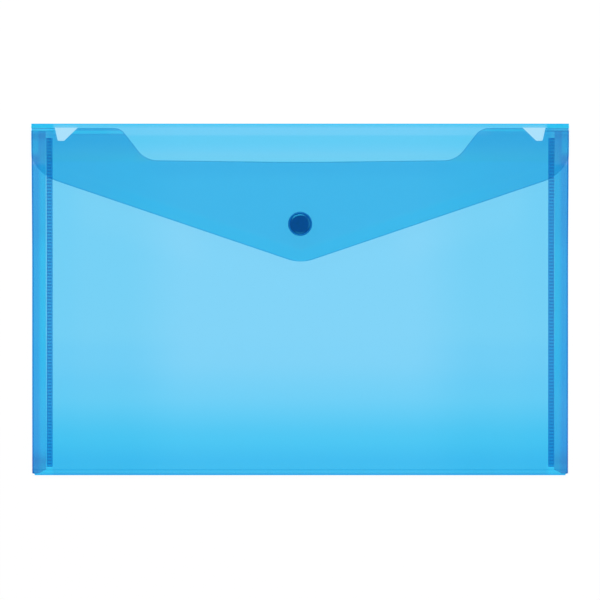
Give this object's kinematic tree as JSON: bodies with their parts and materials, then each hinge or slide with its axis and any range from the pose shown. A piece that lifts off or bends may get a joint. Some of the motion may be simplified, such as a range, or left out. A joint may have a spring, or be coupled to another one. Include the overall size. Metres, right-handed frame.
{
  "type": "snap button document folder",
  "caption": "Closed see-through blue plastic carry folder for A4 sheets, with a shallow V flap, a press stud, a thumb recess between tabs, and tucked-in welded sides.",
  "frame": {"origin": "middle of the underside of the closed folder, on the surface that it lies on", "axes": "+X to the right as the front is seen, +Y up the folder towards the top fold, +Z out of the front"},
  "size_m": [0.33, 0.216, 0.0074],
  "materials": {
    "film": "see-through satin film",
    "weld": "see-through film, fused with a ladder pattern",
    "snap": "semi-gloss"
  },
  "bodies": {
    "back_body": {"back_panel": "film", "bottom_fold": "film", "left_rear_gusset": "film", "right_rear_gusset": "film", "left_side_weld": "weld", "right_side_weld": "weld"},
    "front_body": {"front_panel": "film", "left_front_gusset": "film", "right_front_gusset": "film", "snap_stud": "snap", "snap_back_plate": "snap"},
    "fold_body": {"top_fold": "film"},
    "flap_body": {"flap": "film", "snap_cap": "snap", "snap_socket": "snap"}
  },
  "joints": [
    {"name": "lower_crease", "type": "hinge", "parent": "back_body", "child": "fold_body", "pos_m": [0, 0.108, 0.0001], "axis": [-1, 0, 0], "range_deg": [0, 135]},
    {"name": "upper_crease", "type": "hinge", "parent": "fold_body", "child": "flap_body", "pos_m": [0, 0.1057, 0.0024], "axis": [-1, 0, 0], "range_deg": [0, 40.5]},
    {"name": "mouth_gape", "type": "hinge", "parent": "back_body", "child": "front_body", "pos_m": [0, -0.10715, 0.00085], "axis": [1, 0, 0], "range_deg": [0, 3]}
  ],
  "couplings": [
    {"joint": "upper_crease", "follows": "lower_crease", "ratio": 0.3},
    {"joint": "mouth_gape", "follows": "lower_crease", "ratio": 0.022222}
  ]
}
